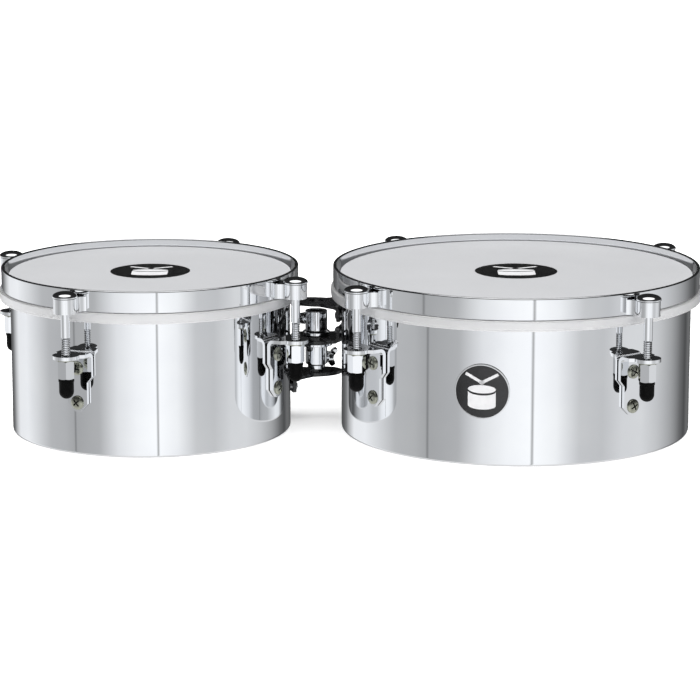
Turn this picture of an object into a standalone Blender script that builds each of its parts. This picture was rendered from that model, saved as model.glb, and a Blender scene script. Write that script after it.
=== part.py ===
"""A pair of mini timbales: two shallow open-bottomed steel drums joined by a swivelling rod mount.

The origin is on the floor under the middle of the pair. +X runs from the small drum to the large
one, -Y is the player's side and +Z is up. Dimensions are in millimetres and become metres in MM.
"""

import math

import bmesh
import bpy
from mathutils import Matrix, Vector

MM = 0.001

# Driving dimensions.
SHELL_RADII = {"small": 101.6, "large": 127.0}
FIRST_LUG_DEGREES = {"small": 63.8, "large": 36.3}
LUGS = 4
SHELL_GAP = 37.4
SHELL_HEIGHT = 114.0
GAP = 0.3

# The shell is thin steel with its lower edge turned in.
WALL = 1.2
LIP = 5.0
EDGE_ROUND = 1.5

# The head: a film over the shell's top edge, whose skirt hangs inside the flesh hoop.
FILM = 0.4
FILM_SLACK = 0.4
SKIRT_BOTTOM = 98.0
FLESH_BOTTOM = 97.0
FLESH_TOP = 104.3
FLESH_OUT = 7.7
FLESH_IN = 1.2

# The counterhoop: a band that stands on the flesh hoop, with an ear for each tension rod.
HOOP_TOP = 120.0
HOOP_IN = 3.8
HOOP_OUT = 6.1
HOOP_EDGE = 0.6
EAR_TOP = 115.4
EAR_LIFT = 0.25
EAR_FLARE = 17.0
BOSS_RADIUS = 8.3
NECK_ANGLE = 128.0

# Lug hardware, on an axis that lies this far outside the shell.
LUG_OUT = 17.1
ROD_RADIUS = 3.2
ROD_HOLE = 3.6
ROD_END = 52.0
HEAD_RADIUS = 8.9
HEAD_RIM = 1.0
HEAD_HEIGHT = 4.5
NUT_ACROSS_FLATS = 11.1
NUT_BOTTOM = 58.3
NUT_TOP = 71.3
CAP_RADIUS = 5.2
CAP_HEIGHT = 14.0
CAP_FLOOR = 3.0

# The lug bracket: one strip of sheet, up the shell and out below the ear.
SHEET = 2.5
TAB_TOP = 75.1
TAB_HOLE = 4.0
TAB_RADIUS = 9.5
TAB_NECK = 5.8
TAB_FLARE_ANGLE = 110.0
BEND_RADIUS = 3.5
BRACKET_BOTTOM = 31.6
BRACKET_TIP_WIDTH = 3.8
BRACKET_CHAMFER = 6.0
BRACKET_WIDTH = 15.8
SHOULDER_WIDTH = 23.6
TAPER_BOTTOM = 53.0
TAPER_TOP = 57.5

# The mount: two plates per drum, bored for a vertical rod that stands behind the middle of the gap.
AXIS_Y = 31.0
PLATE = 2.5
PLATE_TIP_RADIUS = 12.5
PLATE_TIP_LENGTH = 19.0
PLATE_WIDTH = 40.0
PLATE_FLARE_ANGLE = 105.0
PLATE_BEND = 3.0
FLANGE = 12.0
PLATE_LEVELS = {
    "small_lower_plate": 31.7,
    "small_upper_plate": 55.9,
    "large_lower_plate": 58.7,
    "large_upper_plate": 84.4,
}
FLANGES_UP = ("large_lower_plate",)
STAND_ROD_HOLE = 5.6
COLLAR_BORE = 5.2
COLLAR_RADIUS = 8.2
PIVOT_RADIUS = 6.5
PIVOT_HOLE = 6.9
PIVOT_FLANGE = 12.0
PIVOT_RIM = 8.0
PIVOT_RIM_HEIGHT = 1.2
PIVOT_FLANGE_HEIGHT = 2.0
UPPER_COLLAR_FOOT = 10.2
UPPER_COLLAR_FOOT_HEIGHT = 2.2
UPPER_COLLAR_SHOULDER = 1.5
UPPER_COLLAR_TOP = 79.7
LOWER_COLLAR_BOTTOM = 35.7
LOWER_COLLAR_NECK = 3.0
LOWER_COLLAR_SHOULDER = 1.0
WING_SCREW_LEVELS = {"large": 73.1, "small": 43.7}
WING_SCREW_RADIUS = 3.0
WING_HUB_RADIUS = 4.6
WING_HUB_TAPER = 0.8
WING_HUB_LENGTH = 4.0
WING_SPAN = 18.0
WING_THICKNESS = 2.4
WING_ROOT = 1.0
# One wing: the distance along the screw, and the distance across it as a share of half the span.
WING_PROFILE = ((0.0, 0.2), (0.8, 0.7), (2.6, 1.0), (4.6, 1.0), (6.0, 0.75), (4.2, 0.29))
WING_TURNS = {"large": 35.0, "small": -55.0}

# Bolts of the plates.
BOLT_SPREAD = 11.0
BOLT_RADIUS = 2.0
BOLT_HEAD_RADIUS = 3.3
BOLT_HEAD = 2.6
BOLT_CROWN = 0.7
BOLT_EDGE = 0.4
BOLT_REACH = 7.0

# The badge on the large shell.
BADGE_RADIUS = 19.5
BADGE_THICKNESS = 1.0
BADGE_RINGS = (0.0, 0.4, 0.75, 1.0)
BADGE_HEIGHT = 53.0
BADGE_DEGREES = 256.6

# Facets.
ROUND = 64
SMALL_ROUND = 12
ARC_STEPS = 4


def clear_scene():
    for thing in list(bpy.data.objects):
        bpy.data.objects.remove(thing, do_unlink=True)


def make_material(name, colour, metallic, roughness):
    made = bpy.data.materials.new(name)
    made.use_nodes = True
    shader = made.node_tree.nodes["Principled BSDF"]
    shader.inputs["Base Color"].default_value = (*colour, 1.0)
    shader.inputs["Metallic"].default_value = metallic
    shader.inputs["Roughness"].default_value = roughness
    return made


def make_materials():
    return {
        "chrome": make_material("chrome", (0.80, 0.81, 0.83), 1.0, 0.05),
        "aluminium": make_material("aluminium", (0.76, 0.76, 0.77), 1.0, 0.42),
        "film": make_material("film", (0.72, 0.73, 0.75), 0.0, 0.12),
        "rubber": make_material("rubber", (0.012, 0.012, 0.013), 0.0, 0.6),
        "black_paint": make_material("black_paint", (0.02, 0.02, 0.022), 0.0, 0.4),
        "zinc": make_material("zinc", (0.66, 0.67, 0.64), 1.0, 0.28),
        "badge": make_material("badge", (0.01, 0.01, 0.011), 0.0, 0.3),
    }


def mesh_from(bm, name):
    """Turns a bmesh, built in millimetres, into a smooth-shaded mesh in metres."""
    bmesh.ops.recalc_face_normals(bm, faces=bm.faces)
    bmesh.ops.scale(bm, vec=(MM, MM, MM), verts=bm.verts)
    mesh = bpy.data.meshes.new(name)
    bm.to_mesh(mesh)
    bm.free()
    mesh.shade_smooth()
    mesh.set_sharp_from_angle(angle=math.radians(35))
    return mesh


def turned(profile, segments=SMALL_ROUND):
    """Turns a closed outline of (radius, height) points about Z. A radius of 0 is one point."""
    bm = bmesh.new()
    rings = []
    for radius, height in profile:
        if radius == 0.0:
            rings.append([bm.verts.new((0.0, 0.0, height))])
            continue
        ring = []
        for step in range(segments):
            angle = 2 * math.pi * step / segments
            ring.append(bm.verts.new((radius * math.cos(angle), radius * math.sin(angle), height)))
        rings.append(ring)
    for here, there in zip(rings, rings[1:] + rings[:1]):
        join_rings(bm, here, there)
    return bm


def join_rings(bm, here, there):
    if len(here) == 1 and len(there) == 1:
        return
    for step in range(max(len(here), len(there))):
        corners = []
        for ring, index in ((here, step), (here, step + 1), (there, step + 1), (there, step)):
            corner = ring[index % len(ring)]
            if corner not in corners:
                corners.append(corner)
        bm.faces.new(corners)


def pierced_prism(outer, inner, bottom, top):
    """A prism with a hole through it. Both outlines have the same number of points."""
    bm = bmesh.new()
    loops = []
    for outline, height in ((outer, bottom), (outer, top), (inner, top), (inner, bottom)):
        loops.append([bm.verts.new((x, y, height)) for x, y in outline])
    for here, there in zip(loops, loops[1:] + loops[:1]):
        join_rings(bm, here, there)
    return bm


def prism(outline, bottom, top):
    bm = bmesh.new()
    lower = [bm.verts.new((x, y, bottom)) for x, y in outline]
    upper = [bm.verts.new((x, y, top)) for x, y in outline]
    bm.faces.new(lower)
    bm.faces.new(upper)
    join_rings(bm, lower, upper)
    return bm


def arc(centre, radius, start, end, steps=ARC_STEPS):
    """Points of an arc in the plane, both ends included. Angles are in degrees."""
    points = []
    for step in range(steps + 1):
        angle = math.radians(start + (end - start) * step / steps)
        points.append(
            (centre[0] + radius * math.cos(angle), centre[1] + radius * math.sin(angle))
        )
    return points


def bent_strip(stations, thickness):
    """A strip of sheet. A station is (x, z, direction in degrees, half width) of its middle line."""
    bm = bmesh.new()
    rings = []
    for x, z, direction, half_width in stations:
        across = Vector((-math.sin(math.radians(direction)), 0.0, math.cos(math.radians(direction))))
        front = Vector((x, 0.0, z)) + across * thickness / 2
        back = Vector((x, 0.0, z)) - across * thickness / 2
        if half_width == 0.0:
            rings.append([bm.verts.new(front), bm.verts.new(back)])
            continue
        side = Vector((0.0, half_width, 0.0))
        corners = (front + side, front - side, back - side, back + side)
        rings.append([bm.verts.new(corner) for corner in corners])
    for here, there in zip(rings, rings[1:]):
        if len(there) == 4:
            join_rings(bm, here, there)
            continue
        front, back = there
        bm.faces.new((here[0], here[1], front))
        bm.faces.new((here[2], here[3], back))
        bm.faces.new((here[1], here[2], back, front))
        bm.faces.new((here[3], here[0], front, back))
    for ring in (rings[0], rings[-1]):
        if len(ring) == 4:
            bm.faces.new(ring)
    return bm


def empty(name, parent=None, location=(0.0, 0.0, 0.0), degrees=0.0):
    made = bpy.data.objects.new(name, None)
    bpy.context.scene.collection.objects.link(made)
    place(made, parent, location, degrees)
    return made


def place(thing, parent, location, degrees=0.0):
    thing.parent = parent
    thing.location = Vector(location) * MM
    thing.rotation_euler = (0.0, 0.0, math.radians(degrees))


def add(name, mesh, material, parent, location=(0.0, 0.0, 0.0), degrees=0.0):
    """Adds one piece. The mesh may be shared with other pieces of the same material."""
    if not mesh.materials:
        mesh.materials.append(material)
    piece = bpy.data.objects.new(name, mesh)
    bpy.context.scene.collection.objects.link(piece)
    place(piece, parent, location, degrees)
    return piece


def helper(name, bm, parent, matrix=None):
    """A solid that only a Boolean uses."""
    if matrix is not None:
        bmesh.ops.transform(bm, matrix=matrix, verts=bm.verts)
    made = bpy.data.objects.new(name, mesh_from(bm, name))
    bpy.context.scene.collection.objects.link(made)
    made.parent = parent
    made.hide_render = True
    made.display_type = "WIRE"
    return made


def boolean(piece, other, operation):
    modifier = piece.modifiers.new(other.name, "BOOLEAN")
    modifier.operation = operation
    modifier.object = other


def cylinder(radius, bottom, top, segments=SMALL_ROUND):
    return turned([(0.0, bottom), (radius, bottom), (radius, top), (0.0, top)], segments)


def along_x(height=0.0):
    """Lays a shape that was built along Z along X, at the given height."""
    return Matrix.Translation((0.0, 0.0, height)) @ Matrix.Rotation(math.radians(90), 4, "Y")


def drum_centres():
    """The X of each drum's axis, with the whole pair centred on the origin."""
    tab_reach = LUG_OUT + SHELL_RADII["small"]
    lug = math.radians(FIRST_LUG_DEGREES["small"] + 90.0)
    left = tab_reach * math.cos(lug) - TAB_RADIUS
    distance = SHELL_RADII["small"] + SHELL_GAP + SHELL_RADII["large"]
    right = distance + SHELL_RADII["large"] + FLESH_OUT
    small = -(left + right) / 2
    return {"small": small, "large": small + distance}


def shell_mesh(radius):
    inner = radius - WALL
    profile = [
        (radius - LIP, 0.0),
        (radius - EDGE_ROUND, 0.0),
        (radius, EDGE_ROUND),
        (radius, SHELL_HEIGHT),
        (inner, SHELL_HEIGHT),
        (inner, WALL),
        (radius - LIP, WALL),
    ]
    return mesh_from(turned(profile, ROUND), "shell")


def film_mesh(radius):
    under = SHELL_HEIGHT + GAP
    inner = radius + FILM_SLACK
    profile = [
        (0.0, under),
        (inner, under),
        (inner, SKIRT_BOTTOM),
        (inner + FILM, SKIRT_BOTTOM),
        (inner + FILM, under + FILM),
        (0.0, under + FILM),
    ]
    return mesh_from(turned(profile, ROUND), "head_film")


def flesh_hoop_mesh(radius):
    profile = [
        (radius + FLESH_IN, FLESH_BOTTOM),
        (radius + FLESH_OUT - HOOP_EDGE, FLESH_BOTTOM),
        (radius + FLESH_OUT, FLESH_BOTTOM + HOOP_EDGE),
        (radius + FLESH_OUT, FLESH_TOP),
        (radius + FLESH_IN, FLESH_TOP),
    ]
    return mesh_from(turned(profile, ROUND), "flesh_hoop")


def hoop_mesh(radius):
    bottom = FLESH_TOP + GAP
    profile = [
        (radius + HOOP_IN, bottom),
        (radius + HOOP_OUT, bottom),
        (radius + HOOP_OUT, HOOP_TOP - HOOP_EDGE),
        (radius + HOOP_OUT - HOOP_EDGE, HOOP_TOP),
        (radius + HOOP_IN, HOOP_TOP),
    ]
    return mesh_from(turned(profile, ROUND), "counterhoop")


def ear_outline(radius):
    """An ear seen from above, with the rod's axis at the origin and +X pointing away from the drum."""
    root = radius + (HOOP_IN + HOOP_OUT) / 2
    boss = arc((0.0, 0.0), BOSS_RADIUS, NECK_ANGLE, -NECK_ANGLE, 3 * ARC_STEPS)
    neck_x, neck_y = boss[0]
    foot_x = math.sqrt(root**2 - EAR_FLARE**2) - radius - LUG_OUT
    flare = []
    for step in range(ARC_STEPS):
        angle = math.radians(90.0 * step / ARC_STEPS)
        x = foot_x + (neck_x - foot_x) * (1 - math.cos(angle))
        y = EAR_FLARE + (neck_y - EAR_FLARE) * math.sin(angle)
        flare.append((x, y))
    mirrored = [(x, -y) for x, y in reversed(flare)]
    base = []
    for step in range(1, ARC_STEPS):
        y = -EAR_FLARE + 2 * EAR_FLARE * step / ARC_STEPS
        base.append((math.sqrt(root**2 - y**2) - radius - LUG_OUT, y))
    return flare + boss + mirrored + base


def add_counterhoop(drum, radius, frame, lugs, material):
    hoop = add(f"{drum}_counterhoop", hoop_mesh(radius), material, frame)
    bottom = FLESH_TOP + GAP + EAR_LIFT
    for number, lug in enumerate(lugs, 1):
        ear = helper(f"{drum}_ear_{number}", prism(ear_outline(radius), bottom, EAR_TOP), lug)
        boolean(hoop, ear, "UNION")
    for number, lug in enumerate(lugs, 1):
        drill = cylinder(ROD_HOLE, FLESH_BOTTOM, HOOP_TOP)
        boolean(hoop, helper(f"{drum}_ear_drill_{number}", drill, lug), "DIFFERENCE")


def rod_mesh():
    """Dome-headed bolt. Its origin is on its axis, at floor level."""
    seat = EAR_TOP + GAP
    dome = []
    for step in range(ARC_STEPS + 1):
        angle = math.radians(90.0 * step / ARC_STEPS)
        height = seat + HEAD_RIM + (HEAD_HEIGHT - HEAD_RIM) * math.sin(angle)
        dome.append((0.0 if step == ARC_STEPS else HEAD_RADIUS * math.cos(angle), height))
    profile = [(0.0, ROD_END), (ROD_RADIUS, ROD_END), (ROD_RADIUS, seat), (HEAD_RADIUS, seat)]
    return mesh_from(turned(profile + dome), "tension_rod")


def nut_mesh():
    outer, inner = [], []
    for step in range(SMALL_ROUND):
        angle = 2 * math.pi * step / SMALL_ROUND
        off_flat = (angle + math.pi / 6) % (math.pi / 3) - math.pi / 6
        reach = NUT_ACROSS_FLATS / 2 / math.cos(off_flat)
        outer.append((reach * math.cos(angle), reach * math.sin(angle)))
        inner.append((ROD_HOLE * math.cos(angle), ROD_HOLE * math.sin(angle)))
    return mesh_from(pierced_prism(outer, inner, NUT_BOTTOM, NUT_TOP), "tension_nut")


def cap_mesh():
    """Rubber cap, open at the top for the end of the rod, with a round lower end."""
    top = NUT_BOTTOM - GAP
    bottom = top - CAP_HEIGHT
    centre = bottom + CAP_RADIUS
    profile = []
    for step in range(ARC_STEPS + 1):
        angle = math.radians(-90.0 + 90.0 * step / ARC_STEPS)
        radius = 0.0 if step == 0 else CAP_RADIUS * math.cos(angle)
        profile.append((radius, centre + CAP_RADIUS * math.sin(angle)))
    floor = bottom + CAP_FLOOR
    profile += [(CAP_RADIUS, top), (ROD_HOLE, top), (ROD_HOLE, floor), (0.0, floor)]
    return mesh_from(turned(profile), "rubber_cap")


def bend_stations(centre, radius, start, end, half_width):
    """Stations round a bend. Angles run round the bend's centre, and the strip turns right."""
    stations = []
    for (x, z), step in zip(arc(centre, radius, start, end), range(ARC_STEPS + 1)):
        direction = start + (end - start) * step / ARC_STEPS - 90.0
        stations.append((x, z, direction, half_width))
    return stations


def tip_stations(x, z, radius, length, start):
    """The oval end of a strip that runs along +X and reaches its full width at the start angle."""
    stations = []
    for step in range(2 * ARC_STEPS + 1):
        angle = math.radians(start * (1 - step / (2 * ARC_STEPS)))
        half_width = 0.0 if step == 2 * ARC_STEPS else radius * math.sin(angle)
        stations.append((x + length * math.cos(angle), z, 0.0, half_width))
    return stations


def bracket_mesh():
    """Lug bracket, with the rod's axis at the origin and +X pointing away from the drum."""
    plate_x = -LUG_OUT + GAP + SHEET / 2
    tab_z = TAB_TOP - SHEET / 2
    bend_centre = (plate_x + BEND_RADIUS, tab_z - BEND_RADIUS)
    up = 90.0
    stations = [
        (plate_x, BRACKET_BOTTOM, up, BRACKET_TIP_WIDTH / 2),
        (plate_x, BRACKET_BOTTOM + BRACKET_CHAMFER, up, BRACKET_WIDTH / 2),
        (plate_x, TAPER_BOTTOM, up, BRACKET_WIDTH / 2),
        (plate_x, TAPER_TOP, up, SHOULDER_WIDTH / 2),
    ]
    stations += bend_stations(bend_centre, BEND_RADIUS, 180.0, 90.0, SHOULDER_WIDTH / 2)
    stations.append((-TAB_NECK, tab_z, 0.0, SHOULDER_WIDTH / 2))
    stations += tip_stations(0.0, tab_z, TAB_RADIUS, TAB_RADIUS, TAB_FLARE_ANGLE)
    return mesh_from(bent_strip(stations, SHEET), "lug_bracket")


def add_lug(drum, number, lug, meshes, materials):
    bracket = add(f"{drum}_lug_bracket_{number}", meshes["bracket"], materials["chrome"], lug)
    drill = helper(f"{drum}_tab_drill_{number}", cylinder(TAB_HOLE, NUT_TOP, TAB_TOP + SHEET), lug)
    boolean(bracket, drill, "DIFFERENCE")
    add(f"{drum}_tension_rod_{number}", meshes["rod"], materials["chrome"], lug)
    add(f"{drum}_tension_nut_{number}", meshes["nut"], materials["chrome"], lug)
    add(f"{drum}_rubber_cap_{number}", meshes["cap"], materials["rubber"], lug)


def add_drum(drum, centre_x, lug_meshes, materials):
    """Builds one drum and returns its shell."""
    radius = SHELL_RADII[drum]
    frame = empty(f"{drum}_drum", location=(centre_x, 0.0, 0.0))
    lugs = []
    for number in range(LUGS):
        degrees = FIRST_LUG_DEGREES[drum] + 360.0 * number / LUGS
        reach = radius + LUG_OUT
        x = reach * math.cos(math.radians(degrees))
        y = reach * math.sin(math.radians(degrees))
        lugs.append(empty(f"{drum}_lug_{number + 1}", frame, (x, y, 0.0), degrees))
    shell = add(f"{drum}_shell", shell_mesh(radius), materials["chrome"], frame)
    add(f"{drum}_head_film", film_mesh(radius), materials["film"], frame)
    add(f"{drum}_flesh_hoop", flesh_hoop_mesh(radius), materials["aluminium"], frame)
    add_counterhoop(drum, radius, frame, lugs, materials["chrome"])
    for number, lug in enumerate(lugs, 1):
        add_lug(drum, number, lug, lug_meshes, materials)
    return shell


def plate_mesh(reach, flange_up):
    """A mount plate about the stand rod's axis, with +X pointing to its own drum's shell, at reach.

    The strip starts at the flange's edge, runs along the flange, bends and ends in a round tip
    at -X. It is built mirrored, with the tip at +X, and then turned about.
    """
    middle = PLATE / 2
    wall_x = reach - GAP - middle
    half_width = PLATE_WIDTH / 2
    bend_centre = (-wall_x + PLATE_BEND, -PLATE_BEND)
    stations = [(-wall_x, middle - FLANGE, 90.0, half_width)]
    stations += bend_stations(bend_centre, PLATE_BEND, 180.0, 90.0, half_width)
    stations += tip_stations(0.0, 0.0, PLATE_TIP_RADIUS, PLATE_TIP_LENGTH, PLATE_FLARE_ANGLE)
    bm = bent_strip(stations, PLATE)
    turn = Matrix.Rotation(math.pi, 4, "Z")
    if flange_up:
        turn = Matrix.Rotation(math.pi, 4, "Y")
    lift = Matrix.Translation((0.0, 0.0, middle))
    bmesh.ops.transform(bm, matrix=lift @ turn, verts=bm.verts)
    return mesh_from(bm, "mount_plate")


def bolt_mesh():
    """Round-headed bolt along X, with its seat at x = 0 and its shank at +X."""
    profile = [
        (0.0, BOLT_REACH),
        (BOLT_RADIUS, BOLT_REACH),
        (BOLT_RADIUS, 0.0),
        (BOLT_HEAD_RADIUS, 0.0),
        (BOLT_HEAD_RADIUS, -BOLT_HEAD * BOLT_CROWN),
        (BOLT_HEAD_RADIUS * BOLT_CROWN, -BOLT_HEAD),
        (0.0, -BOLT_HEAD),
    ]
    bm = turned(profile)
    bmesh.ops.transform(bm, matrix=along_x(), verts=bm.verts)
    return mesh_from(bm, "plate_bolt")


def upper_collar_mesh():
    """Stands on the large drum's lower plate and covers the rim of the pivot."""
    foot = PLATE_LEVELS["large_lower_plate"] + PLATE + GAP
    roof = foot + UPPER_COLLAR_FOOT_HEIGHT
    profile = [
        (PIVOT_RIM + 2 * GAP, foot),
        (UPPER_COLLAR_FOOT, foot),
        (UPPER_COLLAR_FOOT, roof),
        (COLLAR_RADIUS, roof + UPPER_COLLAR_SHOULDER),
        (COLLAR_RADIUS, UPPER_COLLAR_TOP),
        (COLLAR_BORE, UPPER_COLLAR_TOP),
        (COLLAR_BORE, roof - GAP),
        (PIVOT_RIM + 2 * GAP, roof - GAP),
    ]
    return mesh_from(turned(profile, 2 * SMALL_ROUND), "upper_rod_collar")


def lower_collar_mesh():
    """The small drum's collar. Its neck is the pivot through both middle plates."""
    flange_top = PLATE_LEVELS["small_upper_plate"] - GAP
    flange_bottom = flange_top - PIVOT_FLANGE_HEIGHT
    rim_bottom = PLATE_LEVELS["large_lower_plate"] + PLATE + GAP
    rim_top = rim_bottom + PIVOT_RIM_HEIGHT
    shoulder = LOWER_COLLAR_BOTTOM + LOWER_COLLAR_NECK
    profile = [
        (COLLAR_BORE, LOWER_COLLAR_BOTTOM),
        (PIVOT_RADIUS, LOWER_COLLAR_BOTTOM),
        (PIVOT_RADIUS, shoulder),
        (COLLAR_RADIUS, shoulder + LOWER_COLLAR_SHOULDER),
        (COLLAR_RADIUS, flange_bottom - GAP),
        (PIVOT_FLANGE, flange_bottom),
        (PIVOT_FLANGE, flange_top),
        (PIVOT_RADIUS, flange_top),
        (PIVOT_RADIUS, rim_bottom),
        (PIVOT_RIM, rim_bottom),
        (PIVOT_RIM, rim_top),
        (COLLAR_BORE, rim_top),
    ]
    return mesh_from(turned(profile, 2 * SMALL_ROUND), "lower_rod_collar")


def wing_screw_mesh():
    """Wing screw along X about its own axis. The stand rod's axis is at x = 0."""
    tip = COLLAR_BORE + GAP
    hub = COLLAR_RADIUS + GAP
    profile = [
        (0.0, tip),
        (WING_SCREW_RADIUS, tip),
        (WING_SCREW_RADIUS, hub),
        (WING_HUB_RADIUS, hub),
        (WING_HUB_RADIUS - WING_HUB_TAPER, hub + WING_HUB_LENGTH),
        (0.0, hub + WING_HUB_LENGTH),
    ]
    bm = turned(profile)
    bmesh.ops.transform(bm, matrix=along_x(), verts=bm.verts)
    return mesh_from(bm, "wing_screw")


def wing_outline():
    """Both wings, seen along their thickness: x along the screw, y across it."""
    root = COLLAR_RADIUS + GAP + WING_ROOT
    upper = [(root + along, WING_SPAN / 2 * across) for along, across in WING_PROFILE]
    lower = [(x, -y) for x, y in reversed(upper)]
    return upper + lower


def bearing(axis_x, centre_x):
    """The direction from the stand rod's axis to a drum's axis in degrees, and the distance."""
    across = centre_x - axis_x
    return math.degrees(math.atan2(-AXIS_Y, across)), math.hypot(AXIS_Y, across)


def add_collar_and_screw(name, mesh, drum, materials, axis_x, centre_x):
    """A collar on the stand rod's axis and its wing screw, which points away from its own drum."""
    towards, _ = bearing(axis_x, centre_x)
    frame = empty(f"{name}_frame", location=(axis_x, AXIS_Y, 0.0), degrees=towards + 180.0)
    collar = add(name, mesh, materials["chrome"], frame)
    level = WING_SCREW_LEVELS[drum]
    drill = cylinder(WING_SCREW_RADIUS + GAP, COLLAR_BORE / 2, 2 * COLLAR_RADIUS)
    boolean(collar, helper(f"{name}_drill", drill, frame, along_x(level)), "DIFFERENCE")
    screw = add(f"{drum}_wing_screw", wing_screw_mesh(), materials["chrome"], frame, (0.0, 0.0, level))
    screw.rotation_euler.x = math.radians(WING_TURNS[drum])
    wings = prism(wing_outline(), -WING_THICKNESS / 2, WING_THICKNESS / 2)
    boolean(screw, helper(f"{drum}_wings", wings, screw), "UNION")


def add_plate(name, axis_x, centre_x, shell, materials):
    """A mount plate, its hole, its two bolts and the bolts' holes in the flange and the shell."""
    drum = name.split("_")[0]
    flange_up = name in FLANGES_UP
    towards, distance = bearing(axis_x, centre_x)
    reach = distance - SHELL_RADII[drum]
    frame = empty(f"{name}_frame", location=(axis_x, AXIS_Y, PLATE_LEVELS[name]), degrees=towards)
    plate = add(name, plate_mesh(reach, flange_up), materials["black_paint"], frame)
    at_pivot = name in ("small_upper_plate", "large_lower_plate")
    hole = PIVOT_HOLE if at_pivot else STAND_ROD_HOLE
    drill = cylinder(hole, -PLATE, 2 * PLATE, 2 * SMALL_ROUND)
    boolean(plate, helper(f"{name}_drill", drill, frame), "DIFFERENCE")
    seat_x = reach - PLATE - 2 * GAP
    bolt_z = PLATE - FLANGE + BOLT_HEAD_RADIUS + BOLT_EDGE
    if flange_up:
        bolt_z = PLATE - bolt_z
    for side, y in (("front", -BOLT_SPREAD), ("rear", BOLT_SPREAD)):
        bolt_frame = empty(f"{name}_{side}_bolt_frame", frame, (seat_x, y, bolt_z))
        add(f"{name}_{side}_bolt", bolt_mesh(), materials["zinc"], bolt_frame)
        drill = cylinder(BOLT_RADIUS + GAP, -GAP / 2, 2 * BOLT_REACH)
        bolt_drill = helper(f"{name}_{side}_bolt_drill", drill, bolt_frame, along_x())
        boolean(plate, bolt_drill, "DIFFERENCE")
        boolean(shell, bolt_drill, "DIFFERENCE")


def badge_mesh(radius):
    """A thin disc bent round the shell. It is built about the drum's axis, facing +X."""
    bm = bmesh.new()
    rings = []
    for depth, reaches in ((GAP, BADGE_RINGS), (GAP + BADGE_THICKNESS, BADGE_RINGS[::-1])):
        for reach in reaches:
            ring = []
            for step in range(2 * SMALL_ROUND if reach else 1):
                angle = math.pi * step / SMALL_ROUND
                across = BADGE_RADIUS * reach * math.cos(angle)
                up = BADGE_RADIUS * reach * math.sin(angle)
                turn = across / radius
                out = radius + depth
                ring.append(bm.verts.new((out * math.cos(turn), out * math.sin(turn), up)))
            rings.append(ring)
    for here, there in zip(rings, rings[1:]):
        join_rings(bm, here, there)
    return mesh_from(bm, "badge")


def main():
    clear_scene()
    materials = make_materials()
    lug_meshes = {
        "bracket": bracket_mesh(),
        "rod": rod_mesh(),
        "nut": nut_mesh(),
        "cap": cap_mesh(),
    }
    centres = drum_centres()
    shells = {drum: add_drum(drum, x, lug_meshes, materials) for drum, x in centres.items()}
    axis_x = centres["small"] + SHELL_RADII["small"] + SHELL_GAP / 2
    for name in PLATE_LEVELS:
        drum = name.split("_")[0]
        add_plate(name, axis_x, centres[drum], shells[drum], materials)
    for name, mesh, drum in (
        ("upper_rod_collar", upper_collar_mesh(), "large"),
        ("lower_rod_collar", lower_collar_mesh(), "small"),
    ):
        add_collar_and_screw(name, mesh, drum, materials, axis_x, centres[drum])
    badge_place = (centres["large"], 0.0, BADGE_HEIGHT)
    badge = badge_mesh(SHELL_RADII["large"])
    add("badge", badge, materials["badge"], None, badge_place, BADGE_DEGREES)


main()
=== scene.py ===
"""Fine visual model of a pair of chrome mini timbales, dressed over its CAD frame.

Shapes are built in millimetres and become metres in finish_mesh. A lug's pieces are built about the
tension rod's axis, with +X pointing away from the drum. The mount's pieces are built about the stand
rod's axis.
"""

import math

import bmesh
import bpy
from mathutils import Matrix, Vector


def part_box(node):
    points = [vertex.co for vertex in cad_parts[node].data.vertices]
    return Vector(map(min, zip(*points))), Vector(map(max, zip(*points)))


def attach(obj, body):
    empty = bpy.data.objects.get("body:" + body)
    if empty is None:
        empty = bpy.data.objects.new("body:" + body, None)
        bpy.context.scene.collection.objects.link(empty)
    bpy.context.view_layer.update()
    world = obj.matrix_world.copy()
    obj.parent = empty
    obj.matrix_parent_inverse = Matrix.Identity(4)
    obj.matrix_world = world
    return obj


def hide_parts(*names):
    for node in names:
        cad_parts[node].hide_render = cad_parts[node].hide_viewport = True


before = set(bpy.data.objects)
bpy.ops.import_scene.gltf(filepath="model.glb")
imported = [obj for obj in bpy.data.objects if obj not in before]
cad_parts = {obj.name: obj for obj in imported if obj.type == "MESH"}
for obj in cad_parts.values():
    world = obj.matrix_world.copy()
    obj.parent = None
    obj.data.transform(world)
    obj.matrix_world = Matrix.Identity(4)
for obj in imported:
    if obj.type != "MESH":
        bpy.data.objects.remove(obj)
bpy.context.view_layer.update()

MM = 0.001
DRUMS = ("small", "large")
LUGS = 4
FIRST_LUG_DEGREES = {"small": 63.8, "large": 36.3}
GAP = 0.3

# Shell and head.
SHELL_HEIGHT = 114.0
WALL = 1.2
LIP = 5.0
LIP_RETURN = 2.4
FILM = 0.4
FILM_SLACK = 0.4
SKIRT_BOTTOM = 98.0
PRINT_RADII = {"small": 29.0, "large": 30.0}

# Flesh hoop and counterhoop.
FLESH_IN = 1.2
FLESH_OUT = 7.7
FLESH_BOTTOM = 97.0
FLESH_TOP = 104.3
HOOP_IN = 3.8
HOOP_OUT = 6.1
HOOP_BOTTOM = 104.6
HOOP_TOP = 120.0
EAR_BOTTOM = 104.85
EAR_TOP = 115.4
EAR_FLARE = 17.0
BOSS_RADIUS = 8.3
NECK_ANGLE = 128.0

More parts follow.
